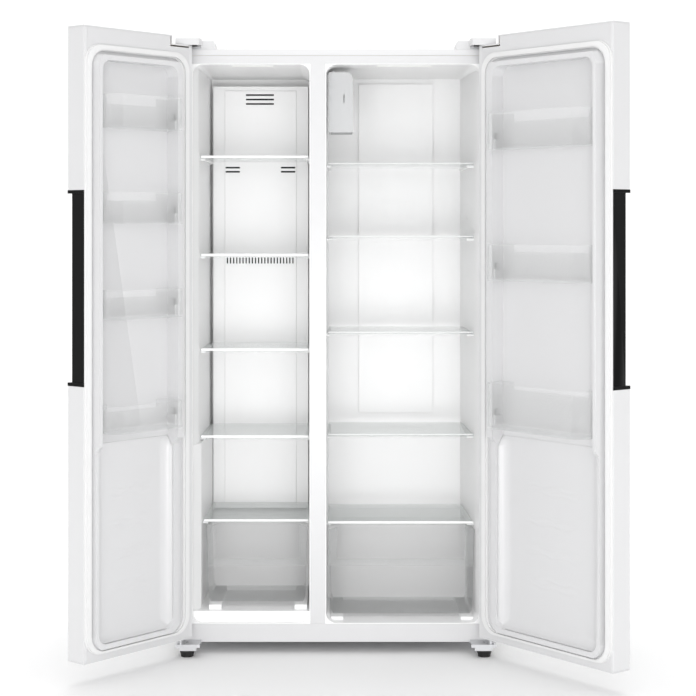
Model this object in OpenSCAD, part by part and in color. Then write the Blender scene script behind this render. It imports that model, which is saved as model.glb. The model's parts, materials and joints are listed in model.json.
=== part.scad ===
// Side by side refrigerator: freezer on the left, fresh food on the right, both doors hung open.
// Millimetres. Inside the modules X is across from the cabinet's middle, Y is back from its front
// plane and Z is up from the floor. on_row() moves everything to the part's own origin.

/* [Cabinet] */
// Width of the cabinet
cab_w = 910; // [900:1:930]
// Height of the cabinet's top above the floor
cab_top = 1740; // [1735:1:1780]
// Height of the cabinet's underside above the floor
cab_bottom = 33; // [33:0.5:34]
// Depth of the cabinet behind its front plane
cab_d = 580; // [575:1:620]
// Thickness of the outer steel sheet
sheet = 1.2; // [0.8:0.1:1.5]
// Thickness of the moulded liners
liner_t = 2; // [1.5:0.1:2.5]
// Air left between the foam and what holds it
foam_gap = 0.5; // [0.3:0.1:1]

/* [Compartments] */
// Left edge of the freezer's opening
freezer_x0 = -412; // [-414:1:-410]
// Right edge of the freezer's opening
freezer_x1 = -75; // [-77:1:-74]
// Left edge of the fridge's opening
fridge_x0 = -28; // [-29:1:-26]
// Right edge of the fridge's opening
fridge_x1 = 414; // [412:1:416]
// Bottom of both openings
space_z0 = 88; // [86:1:96]
// Top of both openings
space_z1 = 1696; // [1690:1:1698]
// Depth of the freezer liner
freezer_d = 505; // [500:1:510]
// Depth of the fridge liner
fridge_d = 495; // [490:1:500]
// Corner radius of the openings
space_r = 28; // [20:1:32]
// Front of the step over the machine compartment
step_y = 300; // [298:1:304]
// Top of that step
step_z = 330; // [322:1:334]

/* [Shelves and drawers] */
// Heights of the freezer's shelves
freezer_shelf_z = [1431, 1142, 863, 607];
// Heights of the fridge's shelves
fridge_shelf_z = [1410, 1195, 913, 612];
// Front edge of the shelves
shelf_y = 110; // [105:1:115]
// Thickness of the glass
glass_t = 4; // [3:0.5:5]
// Height of the moulded lip along a shelf's front
lip_h = 12; // [10:1:14]
// Height of the freezer drawer's lid
freezer_lid_z = 360; // [358:1:364]
// Height of the crisper's lid
crisper_lid_z = 354; // [352:1:358]
// Wall thickness of the clear drawers
drawer_t = 2.5; // [2:0.1:3]

/* [Doors] */
// Width of the freezer door
door_w_left = 401; // [400:1:402]
// Width of the fridge door
door_w_right = 505; // [504:1:506]
// Bottom of the doors
door_z0 = 60; // [60:1:62]
// Top of the doors
door_z1 = 1768; // [1766:1:1770]
// Thickness of the doors
door_t = 66; // [64:1:66]
// Gap between a closed door and the cabinet
door_gap = 10; // [10:0.5:11]
// Hinge pin's distance in from the hinge edge
pin_in = 12; // [12:0.5:13]
// Hinge pin's distance back from the door's front
pin_back = 31; // [30:0.5:32]
// How far the freezer door stands open
open_left = 131; // [90:1:135]
// How far the fridge door stands open
open_right = 129; // [90:1:135]
// Height of the door liner's ridge above the door's inner face
ridge_h = 35; // [30:1:35]
// Height of the ridge beside the drawers
ridge_low_h = 20; // [18:1:24]
// Depth of the door liner's panel below the door's inner face
panel_d = 8; // [6:1:9]
// Bottom of the grips
grip_z0 = 801; // [790:1:820]
// Top of the grips
grip_z1 = 1327; // [1310:1:1340]

/* [Bins] */
// Bottom and top of each freezer door bin
left_bins = [[1495, 1584], [1236, 1322], [980, 1058], [675, 748]];
// Bottom and top of each fridge door bin
right_bins = [[1443, 1543], [1080, 1180], [672, 797]];
// How far a bin's front stands out from the door's inner face
bin_out = 79; // [70:1:79]
// Corner radius at a bin's front
bin_r = 32; // [25:1:36]

/* [Hidden] */
$fn = 48;

side_x = cab_w / 2;
inner_x = side_x - sheet;
pin_x = side_x - pin_in;
door_y0 = -door_gap - door_t;
door_y1 = -door_gap;
pin_y = door_y0 + pin_back;
deck_y = 345;
deck_z = 285;
cover_y = cab_d - 8;
damper_y = 71;
freezer_floor = 118;
freezer_drawer_z = 132;
crisper_drawer_z = 97;
ridge_z0 = space_z0;
ridge_z1 = space_z1 + 6;
panel_z0 = space_z0 + 19;
panel_z1 = space_z1 - 20;
fan_z = 1510;
fan_x = -236;
// corner of an open door, from its pin: the door's own point turned about the pin
function swung(u, y, a) = [
  (u - pin_in) * cos(a) + (y - pin_y) * sin(a),
  -(u - pin_in) * sin(a) + (y - pin_y) * cos(a)
];
function tips(w, a) = [
  for (p = [[0, door_y0], [0, door_y1], [w, door_y0], [w, door_y1], [w - 5, door_y1 + 9.5]])
    swung(p[0], p[1], a)
];
tips_left = tips(door_w_left, open_left);
tips_right = tips(door_w_right, open_right);
low_x = min([for (p = tips_left) p[0]]) - pin_x;
high_x = pin_x - min([for (p = tips_right) p[0]]);
low_y = min([for (p = concat(tips_left, tips_right)) p[1]]) + pin_y;
row_x = -(low_x + high_x) / 2;
row_y = -(low_y + cab_d) / 2;
// a compartment's side wall leans in: a at 60 mm in, b at the back
function lean(a, b, d, y) = y < 60 ? a * y / 60 : a + (b - a) * (y - 60) / (d - 60);
function freezer_l(y) = freezer_x0 + lean(12, 18, freezer_d, y);
function freezer_r(y) = freezer_x1 - lean(2, 5, freezer_d, y);
function fridge_l(y) = fridge_x0 + lean(2, 5, fridge_d, y);
function fridge_r(y) = fridge_x1 - lean(4, 19, fridge_d, y);

module on_row() {
  translate([row_x, row_y, 0]) children();
}

module box(x0, x1, y0, y1, z0, z1) {
  translate([x0, y0, z0]) cube([x1 - x0, y1 - y0, z1 - z0]);
}

// a flat outline drawn in X and Z, given depth from y0 to y1
module deep(y0, y1) {
  translate([0, y1, 0]) rotate([90, 0, 0]) linear_extrude(y1 - y0) children();
}

// a flat outline drawn in Y and Z, given width from x0 to x1
module wide(x0, x1) {
  translate([x0, 0, 0]) rotate([90, 0, 90]) linear_extrude(x1 - x0) children();
}

// a flat outline drawn in X and Y, given height from z0 to z1
module tall(z0, z1) {
  translate([0, 0, z0]) linear_extrude(z1 - z0) children();
}

module round_rect(x0, z0, x1, z1, r) {
  translate([x0 + r, z0]) square([x1 - x0 - 2 * r, z1 - z0]);
  translate([x0, z0 + r]) square([x1 - x0, z1 - z0 - 2 * r]);
  for (x = [x0 + r, x1 - r], z = [z0 + r, z1 - r]) {
    translate([x, z]) circle(r);
  }
}

module disc(x, y, z0, z1, r) {
  translate([x, y, z0]) cylinder(h = z1 - z0, r = r);
}

// ---- Compartments ----

// the side outline of a compartment, over the machine compartment's step, grown by t
module space_side(d, t, floor_z) {
  polygon([[-1, space_z0 - t], [13 + t, space_z0 - t], [19 + t, floor_z - t],
    [step_y + t, floor_z - t], [step_y + t, step_z - t],
    [d + t, step_z + 6 - t], [d + t, space_z1 + t], [-1, space_z1 + t]]);
}

module freezer_plan(t, inset) {
  polygon([[freezer_x0 - t, -1], [freezer_x1 + t, -1], [freezer_r(60) + t, 60],
    [freezer_r(freezer_d) + t, freezer_d + t], [freezer_l(freezer_d) + inset - t, freezer_d + t],
    [freezer_l(60) + inset - t, 60], [freezer_x0 - t, 20]]);
}

module fridge_plan(t) {
  polygon([[fridge_x0 - t, -1], [fridge_x1 + t, -1], [fridge_r(60) + t, 60],
    [fridge_r(fridge_d) + t, fridge_d + t], [fridge_l(fridge_d) - t, fridge_d + t],
    [fridge_l(60) - t, 60]]);
}

module freezer_space(t) {
  intersection() {
    deep(-1, freezer_d + t) {
      round_rect(freezer_x0 - t, space_z0 - t, freezer_x1 + t, space_z1 + t, space_r + t);
    }
    wide(freezer_x0 - 10, freezer_x1 + 10) space_side(freezer_d, t, freezer_floor);
    union() {
      tall(freezer_shelf_z[3] - 10 - t, cab_top) freezer_plan(t, 0);
      tall(cab_bottom, freezer_shelf_z[3] - 9) freezer_plan(t, 8);
    }
  }
}

module fridge_space(t) {
  intersection() {
    deep(-1, fridge_d + t) {
      round_rect(fridge_x0 - t, space_z0 - t, fridge_x1 + t, space_z1 + t, space_r + t);
    }
    wide(fridge_x0 - 10, fridge_x1 + 10) space_side(fridge_d, t, space_z0);
    tall(cab_bottom, cab_top) fridge_plan(t);
  }
}

// the ribs along one wall that carry a shelf; x runs from the wall into the space
module shelf_rib(x0, x1, z) {
  box(x0, x1, shelf_y + 16, 440, z - 7, z - 0.3);
}

module freezer_liner() color("white") on_row() {
  difference() {
    union() {
      intersection() {
        freezer_space(liner_t);
        box(-side_x, 0, 0, cab_d, 0, cab_top);
      }
      box(freezer_x0 - 27, freezer_x1 + liner_t, 0, liner_t, space_z0 - 2, space_z1 + 2);
    }
    difference() {
      freezer_space(0);
      for (z = concat(freezer_shelf_z, [freezer_lid_z])) {
        shelf_rib(freezer_x0 + 1, freezer_l(440) + (z < 500 ? 18 : 10), z);
        shelf_rib(freezer_r(440) - 9, freezer_x1 - 1, z);
      }
      for (x = [freezer_l(80) + 32, freezer_r(80) - 42]) {
        box(x, x + 36, 40, step_y - 2, space_z0 - 1, freezer_drawer_z - 0.3);
      }
    }
  }
}

module fridge_liner() color("white") on_row() {
  difference() {
    union() {
      intersection() {
        fridge_space(liner_t);
        box(-side_x, side_x, 0, cab_d, 0, cab_top);
      }
      box(fridge_x0 - liner_t, fridge_x1 + 25, 0, liner_t, space_z0 - 2, space_z1 + 2);
    }
    difference() {
      fridge_space(0);
      for (z = concat(fridge_shelf_z, [crisper_lid_z])) {
        shelf_rib(fridge_x0 + 1, fridge_l(440) + 9, z);
        shelf_rib(fridge_r(440) - 9, fridge_x1 - 1, z);
      }
      for (x = [fridge_l(80) + 12, fridge_r(80) - 46]) {
        box(x, x + 36, 40, step_y - 2, space_z0 - 1, crisper_drawer_z - 0.3);
      }
    }
  }
}

// the centre post's cover and the top rail, folded from one sheet
module front_frame() color("white") on_row() {
  box(freezer_x1 + liner_t, fridge_x0 - liner_t, 0, 2, space_z0 - 2, space_z1 + 3);
  box(-side_x + 16, side_x - 16, 0, 2, space_z1 + 2, cab_top - 18.3);
}

module bottom_rail() color("white") on_row() {
  box(-side_x + 16, side_x - 16, 0, 2, cab_bottom, space_z0 - 2);
  box(-side_x + 16, side_x - 16, 0, 33, cab_bottom, cab_bottom + 1.5);
}

// ---- Cabinet ----

module cabinet_shell() color("white") on_row() {
  difference() {
    box(-side_x, side_x, 0, cab_d, cab_bottom, cab_top);
    box(-inner_x, inner_x, sheet, cab_d + 1, cab_bottom - 1, cab_top - sheet);
    box(-side_x + 16, side_x - 16, -1, sheet + 1, cab_bottom - 1, cab_top - 18);
  }
}

module back_panel() color("gainsboro") on_row() {
  box(-inner_x + 0.3, inner_x - 0.3, cab_d - 1.2, cab_d, deck_z + 2, cab_top - sheet - 0.3);
}

module base_pan() color("silver") on_row() {
  difference() {
    union() {
      box(-inner_x + 0.3, inner_x - 0.3, 33, cab_d, cab_bottom, cab_bottom + 1.5);
      box(-inner_x + 0.3, inner_x - 0.3, deck_y - 1.5, deck_y, cab_bottom, deck_z + 1.5);
      box(-inner_x + 0.3, inner_x - 0.3, deck_y - 1.5, cab_d, deck_z, deck_z + 1.5);
    }
    for (s = [-1, 1]) {
      box(s * 380 - 17, s * 380 + 17, 514, 566, cab_bottom - 1, cab_bottom + 2);
    }
  }
}

// one fork and axle over each rear roller, hung from the base pan's upper face
module roller_brackets() color("silver") on_row() {
  for (s = [-1, 1]) {
    for (x = [-16.5, 15]) {
      box(s * 380 + x, s * 380 + x + 1.5, 522, 558, 10, cab_bottom + 10);
    }
    box(s * 380 - 30, s * 380 + 30, 522, 558, cab_bottom + 10, cab_bottom + 12);
    for (x = [-30, 28]) {
      box(s * 380 + x, s * 380 + x + 2, 522, 558, cab_bottom + 1.5, cab_bottom + 11);
    }
    translate([s * 380 - 16, 540, 20]) rotate([0, 90, 0]) cylinder(h = 32, r = 4);
  }
}

module insulation_foam() color("khaki") on_row() {
  g = foam_gap;
  difference() {
    box(-inner_x + g, inner_x - g, 4, cab_d - 1.2 - g, cab_bottom + 2, cab_top - sheet - g);
    freezer_space(liner_t + g);
    fridge_space(liner_t + g);
    box(-side_x, side_x, deck_y - 2, cab_d, 0, deck_z + 2);
    box(-side_x, side_x, 0, 32, 0, cab_bottom + 5);
  }
}

// ---- Air and cold parts ----

module evaporator_cover() color("white") on_row() {
  x0 = -385;
  x1 = -86;
  difference() {
    union() {
      box(x0, x1, 446, 504.8, 345, 1669);
      box(-348, -124, 440, 447, 360, 1655);
    }
    box(x0 + 2, x1 - 2, 449, 506, 347, 1667);
    box(-346, -126, 442, 450, 362, 1653);
    for (z = [1614, 1628, 1642]) {
      box(-282, -194, 438, 450, z - 2.5, z + 2.5);
    }
    for (z = [1401, 1414], x = [-346, -172]) {
      box(x, x + 45, 438, 450, z - 2.5, z + 2.5);
    }
    for (i = [0:21]) {
      box(-342 + i * 9.8, -338 + i * 9.8, 438, 450, 1113, 1132);
    }
  }
}

module evaporator() color("silver") on_row() {
  for (i = [0:13]) {
    box(-372 + i * 20, -371 + i * 20, 454, 496, 420, 660);
  }
  for (z = [440:50:640], y = [464, 486]) {
    translate([-380, y, z]) rotate([0, 90, 0]) cylinder(h = 284, r = 4);
  }
  for (x = [-382, -100]) {
    for (z = [440:50:640]) {
      box(x, x + 6, 461, 489, z - 3.5, z + 3.5);
    }
    box(x, x + 6, 486, 504.8, 436, 644);
  }
}

// a fan wheel about an axis along Y: a hub and blades set at a slant
module fan_wheel(r, blades) {
  rotate([90, 0, 0]) cylinder(h = 16, r = r * 0.3, center = true);
  for (i = [0:blades - 1]) {
    rotate([0, i * 360 / blades, 0]) translate([r * 0.25, 0, 0]) rotate([32, 0, 0]) {
      translate([0, -0.8, -r * 0.22]) cube([r * 0.72, 1.6, r * 0.44]);
    }
  }
}

module evaporator_fan() color("dimgray") on_row() {
  difference() {
    translate([fan_x, 470, fan_z]) fan_wheel(52, 7);
    translate([fan_x, 470, fan_z]) rotate([90, 0, 0]) cylinder(h = 30, r = 3.05, center = true);
  }
}

module condenser_fan() color("dimgray") on_row() {
  difference() {
    translate([30, 440, 160]) rotate([0, 0, 90]) fan_wheel(75, 5);
    translate([30, 440, 160]) rotate([0, 90, 0]) cylinder(h = 30, r = 3.05, center = true);
  }
}

module fan_motors() color("slategray") on_row() {
  translate([fan_x, 501, fan_z]) rotate([90, 0, 0]) cylinder(h = 20, r = 20);
  translate([fan_x, 482, fan_z]) rotate([90, 0, 0]) cylinder(h = 21, r = 3);
  box(fan_x - 70, fan_x + 70, 497, 501, fan_z - 8, fan_z + 8);
  for (x = [fan_x - 70, fan_x + 62]) {
    box(x, x + 8, 449.2, 501, fan_z - 8, fan_z + 8);
  }
  translate([44, 440, 160]) rotate([0, 90, 0]) cylinder(h = 34, r = 24);
  translate([20, 440, 160]) rotate([0, 90, 0]) cylinder(h = 26, r = 3);
  box(60, 64, 431, 449, cab_bottom + 1.7, 160);
  box(50, 74, 425, 455, cab_bottom + 1.7, cab_bottom + 4);
}

module fridge_duct_cover() color("white") on_row() {
  difference() {
    box(73, 307, 484, 494.5, 640, 1680);
    box(75, 305, 486.5, 495, 642, 1678);
    for (z = [720:240:1440], x = [72, 304]) {
      box(x, x + 4, 487, 493, z, z + 60);
    }
  }
}

// the housing's front outline, with one rounded corner
module damper_outline() {
  difference() {
    square([70, 176]);
    translate([52, 158]) difference() {
      square(19);
      circle(18);
    }
  }
}

module damper_housing() color("white") on_row() {
  difference() {
    intersection() {
      translate([-20, 0, 1504]) deep(damper_y, 200) damper_outline();
      tall(1500, 1700) polygon([[fridge_l(60) + 0.5, damper_y], [60, damper_y], [60, 200],
        [fridge_l(200) + 0.5, 200]]);
    }
    box(-13.5, 47.5, damper_y + 2.5, 197.5, 1503, 1660);
    box(23, 25.5, damper_y - 1, damper_y + 10, 1592, 1615);
    for (y = [90:20:170]) {
      box(47, 51, y, y + 8, 1530, 1600);
    }
    translate([-7, damper_y + 1, 1560]) rotate([-90, 0, 0]) cylinder(h = 127, r = 3.05);
  }
}

module damper_flap() color("whitesmoke") on_row() {
  translate([-8, damper_y + 8, 1560]) cube([2, 111, 70]);
  translate([-7, damper_y + 1.3, 1560]) rotate([-90, 0, 0]) cylinder(h = 126.4, r = 3);
}

module interior_lamps() color("lightyellow") on_row() {
  box(-300, -180, 30, 50, space_z1 - 2.8, space_z1 - 0.3);
  box(120, 280, 30, 50, space_z1 - 2.8, space_z1 - 0.3);
}

// ---- Machine compartment ----

module compressor() color("dimgray") on_row() translate([-290, 460, cab_bottom + 1.7]) {
  translate([0, 0, 12]) rotate_extrude() intersection() {
    round_rect(-72, 0, 72, 168, 34);
    square([80, 200]);
  }
  difference() {
    box(-115, 115, -55, 55, 10, 14);
    for (x = [-98, 98], y = [-40, 40]) {
      disc(x, y, 9, 15, 5);
    }
  }
  for (x = [-98, 98], y = [-40, 40]) {
    disc(x, y, 0, 9.7, 11);
    disc(x, y, 9, 22, 4.6);
  }
  box(66, 96, -24, 24, 60, 120);
  translate([40, 0, 160]) cylinder(h = 50, r = 4);
  translate([-40, 0, 160]) cylinder(h = 50, r = 4);
}

module condenser() color("black") on_row() {
  for (i = [0:11]) {
    box(150 + i * 20, 151 + i * 20, 380, 470, 50, 250);
  }
  for (z = [70:40:230], y = [395, 425, 455]) {
    translate([140, y, z]) rotate([0, 90, 0]) cylinder(h = 242, r = 4);
  }
  for (z = [70:40:230], x = [138, 380]) {
    box(x, x + 5, 391, 459, z - 3.5, z + 3.5);
  }
  for (x = [150, 370]) {
    box(x, x + 1, 380, 470, cab_bottom + 1.7, 60);
  }
}

module drip_tray() color("gray") on_row() {
  difference() {
    box(-160, -20, 370, 560, cab_bottom + 2, 90);
    box(-157, -23, 373, 557, cab_bottom + 5, 91);
  }
}

module machine_cover() color("lightgray") on_row() {
  difference() {
    box(-side_x + 6, side_x - 6, cover_y, cover_y + 1.2, cab_bottom + 2, deck_z - 1);
    for (z = [70:20:230], x = [-380:90:330]) {
      if (!(x > 250 && z > 130)) {
        box(x, x + 60, cover_y - 1, cover_y + 2, z, z + 6);
      }
    }
    for (x = [-420, 420], z = [60, 260]) {
      translate([x, cover_y - 1, z]) rotate([-90, 0, 0]) cylinder(h = 4, r = 2.5);
    }
    box(331, 357, cover_y - 1, cover_y + 2, 181, 199);
  }
}

module power_inlet() color("dimgray") on_row() {
  difference() {
    union() {
      box(325, 363, cover_y + 1.4, cover_y + 4, 174, 206);
      box(331.5, 356.5, cover_y - 14, cover_y + 3, 181.5, 198.5);
    }
    translate([344, cover_y - 15, 190]) rotate([-90, 0, 0]) cylinder(h = 22, r = 4.5);
  }
}

// ---- Feet, rollers and hinges ----

module foot() {
  difference() {
    union() {
      translate([0, 0, 4]) cylinder(h = 16, r1 = 18, r2 = 23);
      cylinder(h = 4.1, r = 18);
    }
    for (i = [0:17]) {
      rotate([0, 0, i * 20]) translate([22, -1, 6]) cube([4, 2, 15]);
    }
  }
  translate([0, 0, 19]) cylinder(h = 20, r = 5);
}

module front_foot_left() color("black") on_row() {
  translate([-425, -28, 0]) foot();
}

module front_foot_right() color("black") on_row() {
  translate([425, -28, 0]) foot();
}

module rear_rollers() color("black") on_row() {
  for (s = [-1, 1]) {
    translate([s * 380 - 13, 540, 20]) rotate([0, 90, 0]) difference() {
      cylinder(h = 26, r = 20);
      translate([0, 0, -1]) cylinder(h = 28, r = 4.05);
      for (z = [-1, 22]) {
        translate([0, 0, z]) difference() {
          cylinder(h = 5, r = 15);
          translate([0, 0, -1]) cylinder(h = 7, r = 8);
        }
      }
    }
  }
}

// both hinges on one side; the other side is its mirror image
module both_sides() {
  children();
  mirror([1, 0, 0]) children();
}

module bottom_hinges() color("silver") on_row() both_sides() {
  difference() {
    union() {
      box(-side_x - 2, -386, -60, -0.3, 36, 40);
      box(-side_x - 2, -386, -60, -56, 22, 40);
      box(-side_x + 17, -386, -3, 32.5, cab_bottom - 4, cab_bottom);
      box(-side_x + 17, -386, -4, 0, cab_bottom - 4, 40);
      disc(-pin_x, pin_y, 39, 59.6, 9);
      disc(-pin_x, pin_y, 39, 74, 5);
    }
    disc(-425, -28, 30, 42, 5.05);
    box(-side_x - 3, -side_x + 8, -61, -55, 21, 31);
    box(-396, -385, -61, -55, 21, 31);
    for (x = [-420, -400]) {
      disc(x, 16, 20, 40, 3);
    }
  }
}

module top_hinges() color("silver") on_row() both_sides() {
  difference() {
    union() {
      box(-side_x + 4, -425, pin_y - 10, 62, 1745, 1748);
      box(-425.5, -380, 6, 62, 1745, 1748);
      box(-side_x + 4, -380, 6, 62, cab_top + 0.2, 1745.5);
      disc(-pin_x, pin_y, 1714, 1746, 5);
      disc(-pin_x, pin_y, 1745, 1748, 10);
    }
    for (x = [-440, -400], y = [22, 48]) {
      disc(x, y, cab_top - 1, 1750, 3);
    }
  }
}

// the cover's outline over the hinge, shrunk by t
module hinge_plan(t) {
  intersection() {
    translate([-pin_x, pin_y]) circle(61 - t);
    translate([-side_x + t, door_y0 + 4 + t]) square([74 - 2 * t, 90]);
  }
  translate([-side_x + t, 1 + t]) square([108 - 2 * t, 88 - 2 * t]);
  translate([-side_x + t, -8]) square([70 - 2 * t, 20]);
}

module hinge_covers() color("white") on_row() both_sides() {
  difference() {
    intersection() {
      tall(cab_top + 0.2, 1764) hinge_plan(0);
      union() {
        box(-side_x - 1, 0, door_y0, 0.5, 1744.6, 1765);
        wide_cut();
      }
    }
    tall(cab_top - 1, 1761.5) hinge_plan(2.2);
    box(-415, -395, 80, 100, cab_top, cab_top + 12);
  }
}

// keeps the covers' rear half and slants its inner end
module wide_cut() {
  deep(0.4, 100) polygon([[-side_x - 1, cab_top], [-340, cab_top], [-352, 1765], [-side_x - 1, 1765]]);
}

// ---- Shelves, lids and drawers ----

// a pane and its moulded front lip; corners run left front, right front, right back, left back
module shelf(l0, r0, l1, r1, z) {
  tall(z, z + glass_t) polygon([[l0, shelf_y + 4], [r0, shelf_y + 4], [r1, 438], [l1, 438]]);
  difference() {
    box(l0, r0, shelf_y, shelf_y + 14, z - lip_h + 6, z + glass_t + 3);
    box(l0 - 1, r0 + 1, shelf_y + 3.6, shelf_y + 15, z - 0.4, z + glass_t + 0.4);
    box(l0 - 1, r0 + 1, shelf_y + 3, shelf_y + 15, z - lip_h, z - 2.4);
    box(l0 - 1, r0 + 1, shelf_y + 6, shelf_y + 15, z + glass_t + 2, z + glass_t + 4);
  }
}

module freezer_shelf(i) {
  shelf(freezer_l(shelf_y) + 2, freezer_r(shelf_y) - 2, freezer_l(438) + 2, freezer_r(438) - 2,
    freezer_shelf_z[i]);
}

module fridge_shelf(i) {
  shelf(fridge_l(shelf_y) + 2, fridge_r(shelf_y) - 2, fridge_l(438) + 2, fridge_r(438) - 2,
    fridge_shelf_z[i]);
}

module freezer_drawer_lid() color("azure") on_row() {
  shelf(freezer_l(shelf_y) + 10, freezer_r(shelf_y) - 2, freezer_l(438) + 10, freezer_r(438) - 2,
    freezer_lid_z);
}

module crisper_lid() color("azure") on_row() {
  shelf(fridge_l(shelf_y) + 2, fridge_r(shelf_y) - 2, fridge_l(438) + 2, fridge_r(438) - 2,
    crisper_lid_z);
}

// a drawer's outer form, shrunk by t; above a ledge its front is set back between slanted cheeks
module drawer_form(x0, x1, z0, z1, back_in, t) {
  top = t > 0 ? z1 + 1 : z1;
  difference() {
    intersection() {
      deep(79, 295) polygon([[x0 + 15 + t, z0 + t], [x1 - 15 - t, z0 + t], [x1 - 8 - t, z0 + 13 + t],
        [x1 - t, top], [x0 + t, top], [x0 + 8 + t, z0 + 13 + t]]);
      wide(x0 - 1, x1 + 1) polygon([[80 + t, z0 + t], [292 - t, z0 + t], [294 - t, top],
        [80 + t, top]]);
      tall(z0 - 1, z1 + 2) polygon([[x0, 79], [x1, 79], [x1 - back_in - t / 2, 295], [x0 + t / 2, 295]]);
    }
    intersection() {
      wide(x0 - 1, x1 + 1) polygon([[70, 235 - t], [125 + t, 249 - t], [127 + t, z1 + 3], [70, z1 + 3]]);
      tall(z0, z1 + 3) polygon([[x0 + 4 - t, 79], [x1 - 4 + t, 79], [x1 - 28 + t, 126 + t],
        [x0 + 28 - t, 126 + t]]);
    }
  }
}

module drawer(x0, x1, z0, z1, back_in) {
  difference() {
    drawer_form(x0, x1, z0, z1, back_in, 0);
    drawer_form(x0, x1, z0, z1, back_in, drawer_t);
  }
}

module freezer_drawer() color("azure") on_row() {
  drawer(freezer_l(80) + 20, freezer_r(80) - 4, freezer_drawer_z, 350, 3);
}

module crisper_drawer() color("azure") on_row() {
  drawer(fridge_l(80) + 3, fridge_r(80) - 2, crisper_drawer_z, 342, 11);
}

// ---- Doors, drawn closed as the left door, with X from the hinge edge ----

module hang_left() {
  on_row() translate([-pin_x, pin_y, 0]) rotate([0, 0, -open_left]) {
    translate([-pin_in, -pin_y, 0]) children();
  }
}

module hang_right() {
  on_row() mirror([1, 0, 0]) translate([-pin_x, pin_y, 0]) rotate([0, 0, -open_right]) {
    translate([-pin_in, -pin_y, 0]) children();
  }
}

// the door's plan outline with rounded front edges, shrunk by t
module door_plan(w, t) {
  r = 4 - t / 2;
  translate([t, door_y0 + r + t]) square([w - 2 * t, door_t - r - 2 * t]);
  translate([t + r, door_y0 + t]) square([w - 2 * t - 2 * r, r + 1]);
  for (x = [t + r, w - t - r]) {
    translate([x, door_y0 + t + r]) circle(r);
  }
}

// the corner cut away for the top hinge
module hinge_notch(t) {
  box(-1, 76 + t, door_y0 - 1, door_y1 + 1, 1744 - t, door_z1 + 1);
}

module door_skin(w) {
  difference() {
    tall(door_z0 + 4, door_z1 - 4) door_plan(w, 0);
    tall(door_z0, door_z1) door_plan(w, 1);
    box(12, w - 12, door_y1 - 5, door_y1 + 1, door_z0, door_z1);
    hinge_notch(4);
    box(w - 47, w + 1, door_y0 - 1, door_y1 + 1, grip_z0 - 0.1, grip_z1 + 0.1);
  }
}

module door_caps(w) {
  difference() {
    union() {
      tall(door_z0, door_z0 + 3.8) door_plan(w, 0);
      tall(door_z0, door_z0 + 12) door_plan(w, 1.4);
      disc(pin_in, pin_y, door_z0, door_z0 + 24, 10.2);
    }
    difference() {
      tall(door_z0 + 4, door_z0 + 13) door_plan(w, 3.4);
      disc(pin_in, pin_y, door_z0, door_z0 + 24, 10.2);
    }
    box(-1, w + 1, door_y1 - 4, door_y1 + 1, door_z0 + 3.8, door_z0 + 30);
    disc(pin_in, pin_y, door_z0 - 1, door_z0 + 16, 5.05);
  }
  difference() {
    union() {
      difference() {
        union() {
          tall(door_z1 - 3.8, door_z1) door_plan(w, 0);
          tall(door_z1 - 12, door_z1) door_plan(w, 1.4);
        }
        tall(door_z1 - 13, door_z1 - 4) door_plan(w, 3.4);
        hinge_notch(0);
      }
      intersection() {
        tall(1740.2, door_z1) door_plan(w, 0);
        box(-1, 79.8, door_y0, door_y1 + 1, 1740.2, 1744);
      }
      intersection() {
        tall(1740.2, door_z1) door_plan(w, 0);
        box(76, 79.8, door_y0, door_y1 + 1, 1740.2, door_z1);
      }
      disc(pin_in, pin_y, 1708, 1742, 10.2);
    }
    box(80, w + 1, door_y1 - 4, door_y1 + 1, door_z1 - 30, door_z1 - 3.8);
    disc(pin_in, pin_y, 1712, 1745, 5.05);
  }
}

module door_foam(w, u0, u1) {
  g = foam_gap;
  difference() {
    union() {
      box(1 + g, w - 1 - g, door_y0 + 1 + g, door_y1 - liner_t - g, door_z0 + 4 + g, door_z1 - 4 - g);
      ridge(u0, u1, liner_t + g, door_y1 - 4);
    }
    panel_space(u0 + 20, u1 - 11, liner_t + g);
    hinge_notch(8);
    box(0, w, door_y0, door_y1, door_z0, door_z0 + 13);
    box(0, w, door_y0, door_y1, door_z1 - 13, door_z1);
    disc(pin_in, pin_y, door_z0, door_z0 + 25, 11);
    disc(pin_in, pin_y, 1700, door_z1, 11);
    for (x = [0, w - 5]) {
      box(x, x + 5, door_y0, door_y0 + 5, door_z0, door_z1);
    }
    box(w - 65, w, door_y0, door_y0 + 40, grip_z0 - 1, grip_z1 + 1);
    box(w - 13, w, door_y0, door_y1, grip_z0 - 1, grip_z1 + 1);
    box(w - 65, w, door_y0, door_y1, grip_z0 - 1, grip_z0 + 10);
    box(w - 65, w, door_y0, door_y1, grip_z1 - 10, grip_z1 + 1);
  }
}

// the door liner's ridge as a solid, shrunk by t and starting at y
module ridge(u0, u1, t, y) {
  top = door_y1 + ridge_h - t;
  low = door_y1 + ridge_low_h - t;
  z0 = ridge_z0 + t;
  z1 = ridge_z1 - t;
  in_z0 = z0 + 5;
  in_z1 = z1 - 12;
  intersection() {
    deep(y, top) round_rect(u0 + t, z0, u1 - t, z1, 44 - t);
    wide(u0, u1) polygon([[y, z0], [door_y1 - t, z0], [-1 - t, in_z0], [low, in_z0 + 1],
      [low, 625], [top, 625 + ridge_h - ridge_low_h], [top, in_z1 - 1], [-1 - t, in_z1],
      [door_y1 - t, z1], [y, z1]]);
  }
}

// the hollow inside the ridge, grown by t
module panel_space(u0, u1, t) {
  deep(door_y1 - panel_d - t, door_y1 + 60) {
    round_rect(u0 - t, panel_z0 - t, u1 + t, panel_z1 + t, 28 + t);
  }
}

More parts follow.
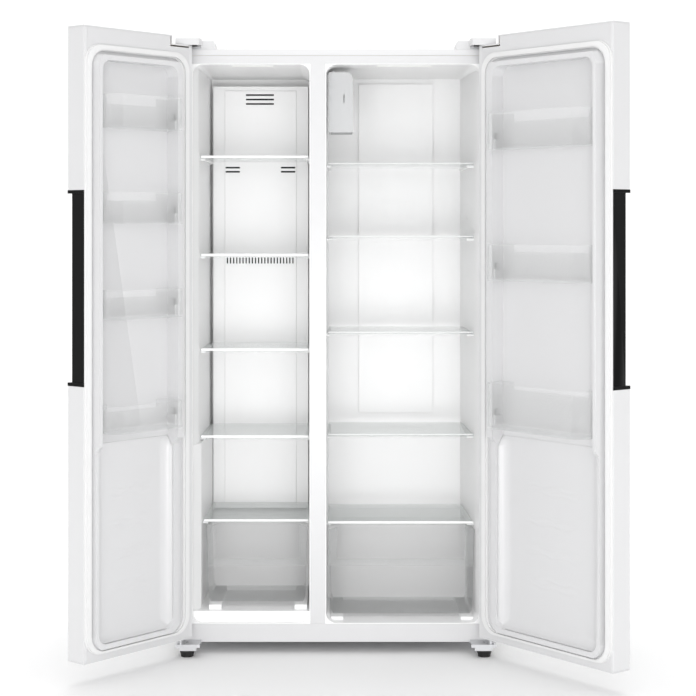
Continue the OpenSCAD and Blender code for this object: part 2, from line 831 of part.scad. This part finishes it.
module door_liner(w, u0, u1, bins) {
  p0 = u0 + 20;
  p1 = u1 - 11;
  t = liner_t;
  difference() {
    union() {
      box(12.3, w - 12.3, door_y1 - t, door_y1, door_z0 + 4.1, door_z1 - 4.2);
      ridge(u0, u1, 0, door_y1 - t);
      deep(door_y1 - panel_d - t, door_y1) {
        round_rect(p0 - t, panel_z0 - t, p1 + t, panel_z1 + t, 28 + t);
      }
    }
    panel_space(p0, p1, 0);
    difference() {
      ridge(u0, u1, t, door_y1 - t - 1);
      panel_space(p0, p1, t);
    }
    hinge_notch(8);
  }
  for (b = bins, x = [p0 - 1, p1 - 6]) {
    box(x, x + 7, door_y1 + 4, door_y1 + 28, b[0] + 4, b[0] + 30);
  }
}

module left_liner() {
  color("white") hang_left() door_liner(door_w_left, 68, 375, left_bins);
}

module right_liner() {
  color("white") hang_right() door_liner(door_w_right, 68, 474, right_bins);
}

module gasket(w, u0) {
  outer = [u0, 80, w - 2, 1720];
  difference() {
    deep(door_y1 + 0.1, door_y1 + 4) round_rect(outer[0], outer[1], outer[2], outer[3], 52);
    deep(door_y1 - 1, door_y1 + 5) {
      round_rect(outer[0] + 22, outer[1] + 7.5, outer[2] - 23.5, outer[3] - 17.5, 45);
    }
  }
  difference() {
    deep(door_y1 + 3, door_y1 + 9.5) {
      round_rect(outer[0] + 3, outer[1] + 1, outer[2] - 3, outer[3] - 2, 50);
    }
    deep(door_y1 - 1, door_y1 + 10) {
      round_rect(outer[0] + 17, outer[1] + 7.2, outer[2] - 18, outer[3] - 15, 45);
    }
  }
}

// the black grip let into the free edge: a is in from that edge, b is back from the front
module grip_wall(w, a0, a1, b0, b1) {
  box(w - a1, w - a0, door_y0 + b0, door_y0 + b1, grip_z0, grip_z1);
}

module door_grip(w) {
  grip_wall(w, 4, 7, 14, door_t);
  grip_wall(w, 4, 19, 14, 17);
  grip_wall(w, 16, 19, 14, 39);
  grip_wall(w, 16, 63, 36, 39);
  grip_wall(w, 60, 63, 19, 39);
  grip_wall(w, 44, 63, 19, 22);
  grip_wall(w, 44, 46.8, 0.4, 22);
  grip_wall(w, 4, 12, door_t - 2, door_t);
  for (z = [grip_z0, grip_z1 - 9]) {
    box(w - 46.8, w, door_y0, door_y0 + 25, z, z + 9);
    box(w - 63, w, door_y0 + 22, door_y0 + 39, z, z + 9);
    box(w - 12, w, door_y0 + 30, door_y1, z, z + 9);
  }
}

// a bin's plan outline, shrunk by t: square at the door and rounded at the front
module bin_plan(u0, u1, t) {
  r = bin_r - t;
  y0 = door_y1 - 5 + t;
  y1 = door_y1 + bin_out - t;
  translate([u0 + t, y0]) square([u1 - u0 - 2 * t, y1 - y0 - r]);
  translate([u0 + t + r, y0]) square([u1 - u0 - 2 * t - 2 * r, y1 - y0]);
  for (x = [u0 + t + r, u1 - t - r]) {
    translate([x, y1 - r]) circle(r);
  }
}

module door_bin(u0, u1, b) {
  difference() {
    union() {
      tall(b[0], b[0] + 14) bin_plan(u0, u1, 0);
      tall(b[0], b[1]) bin_plan(u0, u1, 0.8);
    }
    tall(b[0] + 3, b[1] + 1) bin_plan(u0, u1, 3);
    box(u0 + 40, u1 - 40, door_y1 - 6, door_y1 + 1, b[1] - 22, b[1] + 1);
  }
  for (x = [u0 - 6.4, u1 - 0.9]) {
    box(x, x + 7.3, door_y1 + 6, door_y1 + 26, b[0] + 30.3, b[0] + 48);
  }
}

module left_bin(i) {
  hang_left() door_bin(95.2, 356.8, left_bins[i]);
}

module right_bin(i) {
  hang_right() door_bin(95.2, 455.8, right_bins[i]);
}

cabinet_shell();
back_panel();
base_pan();
insulation_foam();
freezer_liner();
fridge_liner();
front_frame();
bottom_rail();
roller_brackets();
evaporator_cover();
evaporator();
evaporator_fan();
fan_motors();
fridge_duct_cover();
damper_housing();
damper_flap();
interior_lamps();
compressor();
condenser();
condenser_fan();
drip_tray();
machine_cover();
power_inlet();
front_foot_left();
front_foot_right();
bottom_hinges();
top_hinges();
hinge_covers();
rear_rollers();
color("azure") on_row() freezer_shelf(0);  // freezer_shelf_1
color("azure") on_row() freezer_shelf(1);  // freezer_shelf_2
color("azure") on_row() freezer_shelf(2);  // freezer_shelf_3
color("azure") on_row() freezer_shelf(3);  // freezer_shelf_4
color("azure") on_row() fridge_shelf(0);  // fridge_shelf_1
color("azure") on_row() fridge_shelf(1);  // fridge_shelf_2
color("azure") on_row() fridge_shelf(2);  // fridge_shelf_3
color("azure") on_row() fridge_shelf(3);  // fridge_shelf_4
freezer_drawer_lid();
crisper_lid();
freezer_drawer();
crisper_drawer();
color("white") hang_left() door_skin(door_w_left);  // left_door_skin
color("khaki") hang_left() door_foam(door_w_left, 68, 375);  // left_door_foam
left_liner();  // left_door_liner
color("gray") hang_left() gasket(door_w_left, 16);  // left_door_gasket
color("black") hang_left() door_grip(door_w_left);  // left_door_grip
color("white") hang_left() door_caps(door_w_left);  // left_door_caps
color("white") hang_right() door_skin(door_w_right);  // right_door_skin
color("khaki") hang_right() door_foam(door_w_right, 68, 474);  // right_door_foam
right_liner();  // right_door_liner
color("gray") hang_right() gasket(door_w_right, 16);  // right_door_gasket
color("black") hang_right() door_grip(door_w_right);  // right_door_grip
color("white") hang_right() door_caps(door_w_right);  // right_door_caps
color("azure") left_bin(0);  // freezer_bin_1
color("azure") left_bin(1);  // freezer_bin_2
color("azure") left_bin(2);  // freezer_bin_3
color("azure") left_bin(3);  // freezer_bin_4
color("azure") right_bin(0);  // fridge_bin_1
color("azure") right_bin(1);  // fridge_bin_2
color("azure") right_bin(2);  // fridge_bin_3
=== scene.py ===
# %% [markdown]
# # A side by side refrigerator with its doors open
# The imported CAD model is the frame: every steel sheet, liner, shelf and hinge is already
# in its place. This lesson gives each of those pieces its real finish, adds the small
# formed details that a quick solid leaves out, and lights the result like a studio shot.

# %% Load the frame
import bpy
import json
import math
import numpy as np
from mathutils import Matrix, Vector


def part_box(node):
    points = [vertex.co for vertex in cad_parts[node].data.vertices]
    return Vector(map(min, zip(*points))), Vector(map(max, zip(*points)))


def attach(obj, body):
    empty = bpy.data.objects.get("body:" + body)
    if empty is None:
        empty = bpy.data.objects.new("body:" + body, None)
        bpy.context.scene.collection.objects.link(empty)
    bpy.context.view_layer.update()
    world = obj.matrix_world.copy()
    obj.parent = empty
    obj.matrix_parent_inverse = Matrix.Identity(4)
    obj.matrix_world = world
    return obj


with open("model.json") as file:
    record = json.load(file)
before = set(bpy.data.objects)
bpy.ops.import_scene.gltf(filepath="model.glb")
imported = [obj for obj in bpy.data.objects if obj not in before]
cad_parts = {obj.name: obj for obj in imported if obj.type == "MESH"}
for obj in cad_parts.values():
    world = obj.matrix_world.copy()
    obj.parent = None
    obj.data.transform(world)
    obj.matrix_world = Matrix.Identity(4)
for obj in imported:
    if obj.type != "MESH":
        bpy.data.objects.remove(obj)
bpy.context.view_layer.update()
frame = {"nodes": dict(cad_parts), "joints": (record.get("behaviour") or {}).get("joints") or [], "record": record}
NODES = frame["nodes"]

# %% [markdown]
# Positions are read from the frame. The cabinet's front plane and middle are the two
# numbers that everything else is measured from.

# %% Where the cabinet stands
MM = 0.001
shell_low, shell_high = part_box("cabinet_shell")
MID_X = (shell_low[0] + shell_high[0]) / 2
FRONT_Y = shell_low[1]
print("middle", round(MID_X, 4), "front", round(FRONT_Y, 4))

# %% [markdown]
# ## Colours and nodes
# A colour picked from a paint chart is an sRGB value. Blender mixes light in linear
# values, so one function turns the hex code into those. One more adds a node, sets it
# and links it, so that each material below reads as a short list.

# %% Helpers for materials
SLOW_PER_M = 2.5                  # slow patches in a metre of solid finish
CLEAR_SLOW_PER_M = 12.0           # and in a metre of glass or clear plastic
EDGE_POWER = 1.8                  # how late a clear wall starts to show as it turns away


def linear(code):
    """Each channel c of #RRGGBB becomes ((c + 0.055) / 1.055) to the power 2.4."""
    channels = [int(code[i:i + 2], 16) / 255 for i in (1, 3, 5)]
    return [c / 12.92 if c <= 0.04045 else ((c + 0.055) / 1.055) ** 2.4 for c in channels] + [1]


def add(tree, kind, links=(), **settings):
    """Adds a node; settings are its properties or its inputs, links are (socket, output)."""
    node = tree.nodes.new("ShaderNode" + kind)
    for name, value in settings.items():
        if hasattr(node, name):
            setattr(node, name, value)
        else:
            node.inputs[name.replace("_", " ")].default_value = value
    for socket, output in links:
        tree.links.new(output, node.inputs[socket])
    return node


def material(name):
    """A new material with an empty tree apart from its shader and output."""
    made = bpy.data.materials.new(name)
    made.use_nodes = True
    return made, made.node_tree, made.node_tree.nodes["Principled BSDF"]


def surface(name, code, roughness, grain_mm, bump_mm, spread=0.02, tint=0.01, **sockets):
    """A solid finish. Noise of grain_mm lifts the surface by bump_mm, and a slower noise
    moves its roughness by spread and its lightness by tint, as handling and moulding do."""
    made, tree, shader = material(name)
    place = add(tree, "TexCoord").outputs["Object"]
    fine = add(tree, "TexNoise", [("Vector", place)], Scale=1 / (grain_mm * MM), Detail=2.0)
    slow = add(tree, "TexNoise", [("Vector", place)], Scale=SLOW_PER_M, Detail=1.0)
    lift = add(tree, "Bump", [("Height", fine.outputs["Fac"])], Distance=bump_mm * MM,
               Strength=1.0)
    tree.links.new(lift.outputs["Normal"], shader.inputs["Normal"])
    rough = add(tree, "MapRange", [("Value", slow.outputs["Fac"])])
    rough.inputs["To Min"].default_value = roughness - spread
    rough.inputs["To Max"].default_value = roughness + spread
    tree.links.new(rough.outputs["Result"], shader.inputs["Roughness"])
    base = linear(code)
    shade = add(tree, "MixRGB", [("Fac", slow.outputs["Fac"])])
    shade.inputs["Color1"].default_value = [c * (1 - tint) for c in base[:3]] + [1]
    shade.inputs["Color2"].default_value = [min(1, c * (1 + tint)) for c in base[:3]] + [1]
    tree.links.new(shade.outputs["Color"], shader.inputs["Base Color"])
    for socket, value in sockets.items():
        shader.inputs[socket.replace("_", " ")].default_value = value
    return made


print("white is", [round(c, 3) for c in linear("#F2F2F2")])

# %% [markdown]
# ## White finishes
# The outside is steel sheet coated on a roller before it is folded. That paint lies in a
# faint orange peel about 2 mm across, under a smooth gloss. The liners are high impact
# polystyrene, drawn hot over a mould: softer gloss and a very slight waviness. The doors'
# liners are the same polystyrene in a greyer copy of its white, painted shade for faces
# that turn to the front light. Trims, lips and the control housing are moulded ABS, a
# little smoother, each in its own white. The lamp's lens glows faintly.

# %% White enamel, liner and trim
enamel = surface("prepainted_steel_white", "#DADADB", 0.26, 2.2, 0.012, IOR=1.5)
liner = surface("formed_polystyrene_white", "#F8F8F8", 0.36, 3.5, 0.03, IOR=1.59)
# The doors' copy of the liner is greyer as painted shade; it is not a different plastic.
door_liner = surface("formed_polystyrene_door_white", "#D3D3D4", 0.34, 3.5, 0.03, IOR=1.59)
trim = surface("moulded_abs_white", "#D5D5D6", 0.3, 1.2, 0.01, IOR=1.54)
gasket = surface("soft_pvc_seal", "#E2E2E2", 0.55, 1.0, 0.02, IOR=1.53)
# The lens's grey is painted shade, so that it sits in the shaded ceiling. Its faint glow is the lamp's own.
lamp = surface("frosted_lamp_lens", "#CFCFCD", 0.45, 0.8, 0.01, IOR=1.5,
               Emission_Color=(1, 1, 1, 1), Emission_Strength=0.25)
bright = surface("satin_abs_bright_white", "#FBFBFB", 0.25, 1.2, 0.005, IOR=1.54)
milky = surface("satin_abs_milky", "#DCDDDD", 0.25, 1.2, 0.005, IOR=1.54)
housing = surface("moulded_abs_pale_grey", "#C2C3C4", 0.3, 1.2, 0.01, IOR=1.54)
print("white finishes", enamel.name, liner.name, trim.name)

# %% [markdown]
# ## Dark, metal and hidden finishes
# The grips are gloss black ABS. The hinge brackets and sheet parts are zinc plated steel,
# whose spangle shows as slow patches of gloss. Feet and rollers are rubbery black nylon.

# %% Black, metal and hidden parts
grip = surface("gloss_abs_black", "#030303", 0.3, 1.0, 0.004, spread=0.02, IOR=1.54,
               Specular_IOR_Level=0.15)
nylon = surface("moulded_nylon_black", "#101011", 0.55, 0.8, 0.03, IOR=1.53)
zinc = surface("zinc_plated_steel", "#C9CACC", 0.34, 1.5, 0.01, spread=0.1, tint=0.06,
               Metallic=1.0)
fins = surface("mill_aluminium", "#C4C6C8", 0.38, 0.8, 0.01, Metallic=1.0)
pot = surface("baked_paint_black", "#0C0C0D", 0.35, 1.5, 0.03, IOR=1.5)
grey = surface("moulded_polypropylene_grey", "#6A6B6D", 0.5, 1.0, 0.03, IOR=1.5)
foam = surface("rigid_urethane_foam", "#D9C78E", 0.9, 1.0, 0.2, tint=0.1, IOR=1.4)
print("dark and metal finishes", grip.name, zinc.name)

# %% [markdown]
# ## Clear finishes
# Shelves are float glass; bins and drawers are clear polystyrene. Both let nearly all
# light through face on and mirror their surroundings at a glancing angle. Layer Weight
# gives that angle, and it drives how much of the surface is seen, so that walls stay
# light, and how far the colour turns to a darker painted shade, so that edges draw
# themselves.

# %% Clear glass and clear plastic
def clear(name, code, glancing_shade_code, low, high, roughness, ior):
    """The share seen rises from low, face on, to high, edge on, by facing ** EDGE_POWER.
    The colour moves from code to glancing_shade_code the same way: painted shade for a wall
    seen edge on, where a real one mirrors and bends darker surroundings."""
    made, tree, shader = material(name)
    edge = add(tree, "LayerWeight", Blend=0.5)
    bend = add(tree, "Math", [(0, edge.outputs["Facing"])], operation="POWER")
    bend.inputs[1].default_value = EDGE_POWER
    seen = add(tree, "MapRange", [("Value", bend.outputs["Value"])])
    seen.inputs["To Min"].default_value = low
    seen.inputs["To Max"].default_value = high
    tree.links.new(seen.outputs["Result"], shader.inputs["Alpha"])
    place = add(tree, "TexCoord").outputs["Object"]
    slow = add(tree, "TexNoise", [("Vector", place)], Scale=CLEAR_SLOW_PER_M,
               Detail=2.0)
    rough = add(tree, "MapRange", [("Value", slow.outputs["Fac"])])
    rough.inputs["To Min"].default_value = roughness * 0.6
    rough.inputs["To Max"].default_value = roughness * 1.6
    tree.links.new(rough.outputs["Result"], shader.inputs["Roughness"])
    shade = add(tree, "MixRGB", [("Fac", bend.outputs["Value"])])
    shade.inputs["Color1"].default_value = linear(code)
    shade.inputs["Color2"].default_value = linear(glancing_shade_code)
    tree.links.new(shade.outputs["Color"], shader.inputs["Base Color"])
    shader.inputs["IOR"].default_value = ior
    return made


# The second colour of each is painted shade for walls seen edge on. The glass's green tint is its own.
glass = clear("float_glass_shelf", "#F4F8F7", "#D6DEDC", 0.04, 0.5, 0.05, 1.52)
plastic = clear("clear_polystyrene", "#FCFDFD", "#D2D5D5", 0.04, 0.5, 0.08, 1.59)
print("clear finishes", glass.name, plastic.name)

# %% [markdown]
# ## Giving every CAD piece its finish
# The record names a material slot for each piece, so one table from slot to finish
# covers the whole frame. A small bevel rounds the knife edges that sheet and mouldings
# never have; Weld first joins the split corners of the imported mesh.

# %% Finishes and rounded edges
FINISH = {
    "white_steel": enamel, "white_liner": liner, "white_trim": trim, "clear_shelf": glass,
    "clear_plastic": plastic, "black_grip": grip, "gasket": gasket, "foam": foam,
    "zinc_steel": zinc, "aluminium_fins": fins, "black_paint": pot, "black_plastic": nylon,
    "grey_plastic": grey, "lamp_lens": lamp,
}
SLOT = {part["node"]: part["material_slot"] for part in frame["record"]["subparts"]}
ROUND_MM = {"white_liner": 2.2, "white_trim": 0.8, "white_steel": 0.6, "black_grip": 0.8,
            "clear_plastic": 0.6, "clear_shelf": 0.5}


def soften(piece, width_mm):
    """Welds split corners, then rounds every edge sharper than 35 degrees."""
    weld = piece.modifiers.new("join corners", "WELD")
    weld.merge_threshold = 1e-5
    bevel = piece.modifiers.new("round edges", "BEVEL")
    bevel.width = width_mm * MM
    bevel.segments = 2
    bevel.limit_method = "ANGLE"
    bevel.angle_limit = math.radians(35)
    bevel.use_clamp_overlap = True
    bevel.harden_normals = False


for name, piece in NODES.items():
    piece.data.materials.clear()
    piece.data.materials.append(FINISH[SLOT[name]])
    if SLOT[name] in ROUND_MM:
        soften(piece, ROUND_MM[SLOT[name]])
NODES["damper_housing"].data.materials[0] = housing
# The door liners take the greyer copy of the liner: painted shade.
for side in ("left", "right"):
    NODES[side + "_door_liner"].data.materials[0] = door_liner
print("finished", len(NODES), "pieces")

# %% [markdown]
# ## Small formed pieces
# A quick solid leaves out what a mould adds for nothing: pale lips along the shelves and
# the coves and ripples pressed into the lower part of each door liner. A dark backing
# behind each air slot adds painted shade. Each is a profile or a grid of points, built whole.

# %% Profiles and grids
CORNER_POINTS = 5


def mesh_object(name, points, faces):
    """An object at the origin with those points and faces, linked to the scene."""
    mesh = bpy.data.meshes.new(name)
    mesh.from_pydata(points.tolist(), [], faces)
    made = bpy.data.objects.new(name, mesh)
    bpy.context.scene.collection.objects.link(made)
    return made


def grid_mesh(name, points):
    """One face between each four neighbours of a grid of points, points[i, j] = (x, y, z):
    with m points in a row, the face at (i, j) joins i m + j, (i + 1) m + j and the next two."""
    n, m = points.shape[:2]
    i, j = np.meshgrid(np.arange(n - 1), np.arange(m - 1), indexing="ij")
    a = (i * m + j).ravel()
    b = a + m
    faces = np.stack([a, b, b + 1, a + 1], axis=1).tolist()
    return mesh_object(name, points.reshape(-1, 3), faces)


def bar(name, low, high, radius, finish, body):
    """A bar along X. Its section is the rectangle low to high in Y and Z with each corner a
    quarter circle: (y, z) = centre + radius * (cos t, sin t), and t turns 90 degrees more at
    each corner."""
    arc = np.linspace(0, math.pi / 2, CORNER_POINTS)
    left, right = low[1] + radius, high[1] - radius
    bottom, top = low[2] + radius, high[2] - radius
    centres = [(right, top), (left, top), (left, bottom), (right, bottom)]
    ring = []
    for quarter, (y, z) in enumerate(centres):
        t = arc + quarter * math.pi / 2
        ring.append(np.stack([y + radius * np.cos(t), z + radius * np.sin(t)], axis=1))
    ring = np.concatenate(ring)
    n = len(ring)
    ends = [np.column_stack([np.full(n, x), ring]) for x in (low[0], high[0])]
    i = np.arange(n)
    after = (i + 1) % n
    sides = np.stack([i, after, after + n, i + n], axis=1).tolist()
    caps = [list(range(n))[::-1], list(range(n, 2 * n))]
    made = mesh_object(name, np.concatenate(ends), sides + caps)
    made.data.materials.append(finish)
    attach(made, body)


def cabinet(x, y, z):
    """A place in the cabinet's own millimetres, as metres in the frame."""
    return np.array([MID_X + x * MM, FRONT_Y + y * MM, z * MM])


print("points round one bar", 4 * CORNER_POINTS)

# %% [markdown]
# Each glass shelf, and the lid over each drawer, has a lip moulded along its front edge.
# The lip's outer face is a strip about 7 mm tall on the freezer's shelves and on the lids,
# in bright satin white. The fridge's wide shelves have a slimmer strip, 4.5 mm tall, in a
# paler, clearer plastic that stands out less.

# %% Lips along the shelves and lids
LIP_TALL, LIP_SLIM = 7.0 * MM, 4.5 * MM
LIP_ABOVE = 0.2 * MM              # stands over the glass
LIP_AHEAD, LIP_BACK = 0.8 * MM, 2.6 * MM
LIP_SHORT = 1 * MM                # stops before each end of the glass
LIP_ROUND = 1.4 * MM
LIPS = [f"{room}_shelf_{i}" for room in ("freezer", "fridge") for i in (1, 2, 3, 4)]
LIPS += ["freezer_drawer_lid", "crisper_lid"]
for name in LIPS:
    low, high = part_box(name)
    top = high[2] + LIP_ABOVE
    slim = name.startswith("fridge")
    bottom = top - (LIP_SLIM if slim else LIP_TALL)
    bar(name + "_lip", (low[0] + LIP_SHORT, low[1] - LIP_AHEAD, bottom),
        (high[0] - LIP_SHORT, low[1] + LIP_BACK, top), LIP_ROUND, milky if slim else bright,
        name)
print("lips", len(LIPS))

# %% [markdown]
# Behind every air slot in the freezer's rear cover lies an unlit hollow. A dark backing just
# behind the cover is painted shade, which gives the slots their depth.

# %% Painted shade behind the slots
# The backing's near black is painted shade; it is not a dark part of the refrigerator.
slot_shade = surface("shaded_duct_grey", "#1E1F20", 0.8, 1.0, 0.02, IOR=1.5)
BACKING_FRONT, BACKING_BACK = 442.3, 443.5
BACKING_SHORT = 0.5
BACKING_ROUND = 0.3 * MM
BACKINGS = {"duct_top": (-286, -190, 1609, 1647), "duct_left": (-346, -298, 1396, 1419),
            "duct_right": (-175, -126, 1396, 1419), "duct_row": (-345, -129, 1110, 1135)}
for name, (x0, x1, z0, z1) in BACKINGS.items():
    bar(name, cabinet(x0 + BACKING_SHORT, BACKING_FRONT, z0),
        cabinet(x1 - BACKING_SHORT, BACKING_BACK, z1), BACKING_ROUND, slot_shade, "cabinet")
print("backings", list(BACKINGS))

# %% [markdown]
# The lower part of each door liner is pressed deeper, with wide coves along the hinge side
# and the bottom, and a few rows of faint ripples that stiffen the flat. The surface is
# worked out in the closed door's own millimetres: u runs from the hinge edge, z is up. It
# is then turned about the hinge pin by the angle at which the door hangs.

# %% Pressed lower panels
PIN_U, PIN_Y = 12, -45            # the hinge pin: from the hinge edge, from the cabinet's front
PANEL_Y = -17.6                   # the sheet's flat, from the cabinet's front
PANEL_U0 = 88
PANEL_U1 = {"left": 364, "right": 463}
PANEL_Z0, PANEL_Z1 = 107, 645     # its bottom edge and where it fades out
HINGE_COVE, BOTTOM_COVE, FREE_COVE = (34, 25), (30, 25), (10, 20)    # width, rise
FADE = 30                         # the coves die away over this height
RIPPLE_ROWS = (243, 262, 330, 350, 413, 430, 499, 515)
RIPPLE_WIDTH = 3.5
SHEET = 0.3 * MM


def cove(distance, width, rise):
    """Quarter circle: rise * (1 - sqrt(1 - (1 - d / width) ** 2)), zero beyond width."""
    d = np.clip(1 - distance / width, 0, 1)
    return rise * (1 - np.sqrt(1 - d * d))


def ripples(u, z, u1):
    """Rows of wandering ridges, each high * exp(-((z - row - bend) / RIPPLE_WIDTH) ** 2), where
    bend = 14 (0.5 - share) + 3 sin(u / 14 + phase) and share is how far across u has come.
    High is 1.1 or 0.8 mm in turn, and each row fades out before the panel's sides."""
    share = (u - PANEL_U0) / (u1 - PANEL_U0)
    fade = np.clip((share - 0.22) / 0.1, 0, 1) * np.clip((0.8 - share) / 0.12, 0, 1)
    rise = np.zeros_like(u)
    for k, row in enumerate(RIPPLE_ROWS):
        bend = 14 * (0.5 - share) + 3 * np.sin(u / 14 + k * 1.7)
        high = 1.1 - 0.3 * (k % 2)
        rise += high * np.exp(-((z - row - bend) / RIPPLE_WIDTH) ** 2)
    return rise * fade


def pressed_panel(hand):
    """Depth is PANEL_Y plus the largest cove plus the ripples. Its place is
    pin + R(angle) (u - PIN_U, y - PIN_Y), mirrored for the right door; angle, the least of
    the swing's range, is the turn from closed to where the door hangs."""
    swing = [j for j in frame["joints"] if j["name"] == hand + "_door_swing"][0]
    side = 1 if hand == "left" else -1
    angle = math.radians(min(swing["range_deg"]))
    u1 = PANEL_U1[hand]
    u, z = np.meshgrid(np.linspace(PANEL_U0 + 0.6, u1 - 0.6, 90),
                       np.linspace(PANEL_Z0 + 1, PANEL_Z1, 170), indexing="ij")
    sides = np.maximum(cove(u - PANEL_U0, *HINGE_COVE), cove(u1 - u, *FREE_COVE))
    coves = np.maximum(sides, cove(z - PANEL_Z0, *BOTTOM_COVE))
    rise = coves * np.clip((PANEL_Z1 - z) / FADE, 0, 1) + ripples(u, z, u1)
    dx, dy = (u - PIN_U) * MM, (rise + PANEL_Y - PIN_Y) * MM
    x = math.cos(angle) * dx - math.sin(angle) * dy
    y = math.sin(angle) * dx + math.cos(angle) * dy
    points = np.stack([swing["pos_m"][0] + side * x, swing["pos_m"][1] + y, z * MM], axis=-1)
    made = grid_mesh(hand + "_door_pressing", points[::-1] if side > 0 else points)
    made.data.shade_smooth()
    made.data.materials.append(door_liner)
    shell = made.modifiers.new("sheet", "SOLIDIFY")
    shell.thickness = SHEET
    shell.offset = -1
    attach(made, hand + "_door")
    return made


pressed = [pressed_panel(hand) for hand in ("left", "right")]
print("pressings", [len(p.data.polygons) for p in pressed])

# %% [markdown]
# ## Floor, light and camera
# The floor is plain and pale and turns up into the wall behind. A wide soft box in front
# and a small low one fill the white compartments, one above lights the top, and one behind
# washes the wall to white. The camera stands level, nearly five metres back, with a long
# lens; a shift of that lens frames the refrigerator while its sides stay upright.

# %% Floor and sweep
def sweep(width, near, far, radius, height):
    """Flat from near to far, a quarter circle of that radius, then straight up to height."""
    turn = np.linspace(0, math.pi / 2, 24)
    y = np.concatenate([[near], far + radius * np.sin(turn), [far + radius]])
    z = np.concatenate([[0.0], radius - radius * np.cos(turn), [height]])
    x = np.linspace(-width / 2, width / 2, 5)
    gx, gy = np.meshgrid(x, y, indexing="ij")
    return np.stack([gx, gy, np.broadcast_to(z, gx.shape)], axis=-1)


floor = grid_mesh("studio_floor", sweep(24, -8, 3.2, 2.0, 7.0))
floor.data.shade_smooth()
floor_paint = surface("studio_floor_paint", "#FBFBFB", 0.85, 4.0, 0.02, tint=0.0)
floor.data.materials.append(floor_paint)
print("floor", len(floor.data.polygons), "faces")

# %% Light
AMBIENT = 0.76
SOFT_BOXES = {                    # where and aim: (y from the cabinet's front, z), m; m; W
    "front_soft_box": ((-5.2, 1.1), (0.0, 0.85), 4.2, 74),
    "top_soft_box": ((-0.6, 4.6), (-0.6, 0.0), 3.6, 30),
    "low_soft_box": ((-3.4, 0.25), (0.4, 1.0), 1.6, 48),
    "sweep_soft_box": ((2.4, 4.6), (4.0, 0.4), 3.6, 90),
}
world = bpy.data.worlds.new("studio")
bpy.context.scene.world = world
world.use_nodes = True
world.node_tree.nodes["Background"].inputs["Color"].default_value = (1, 1, 1, 1)
world.node_tree.nodes["Background"].inputs["Strength"].default_value = AMBIENT


def soft_light(name, where, aim, size, power):
    """A square area light at where, turned to face aim."""
    data = bpy.data.lights.new(name, "AREA")
    data.shape = "SQUARE"
    data.size = size
    data.energy = power
    made = bpy.data.objects.new(name, data)
    made.location = where
    reach = np.array(aim) - np.array(where)
    flat = math.hypot(reach[0], reach[1])
    made.rotation_euler = (math.atan2(flat, -reach[2]), 0, math.atan2(-reach[0], reach[1]))
    bpy.context.scene.collection.objects.link(made)


for name, ((y, z), (aim_y, aim_z), size, power) in SOFT_BOXES.items():
    soft_light(name, (MID_X, FRONT_Y + y, z), (MID_X, FRONT_Y + aim_y, aim_z), size, power)
bpy.context.scene.view_settings.view_transform = "Standard"

# %% Camera
CAMERA_AHEAD, CAMERA_HEIGHT = 4.849, 1.2314
camera_data = bpy.data.cameras.new("product_camera")
camera_data.sensor_width = 36
camera_data.lens = 87.1
camera_data.shift_x = 0.0177
camera_data.shift_y = -0.1756
camera = bpy.data.objects.new("product_camera", camera_data)
camera.location = (MID_X, FRONT_Y - CAMERA_AHEAD, CAMERA_HEIGHT)
camera.rotation_euler = (math.radians(90), 0, 0)
bpy.context.scene.collection.objects.link(camera)
bpy.context.scene.camera = camera
print("camera", [round(v, 3) for v in camera.location], "lens", camera_data.lens)
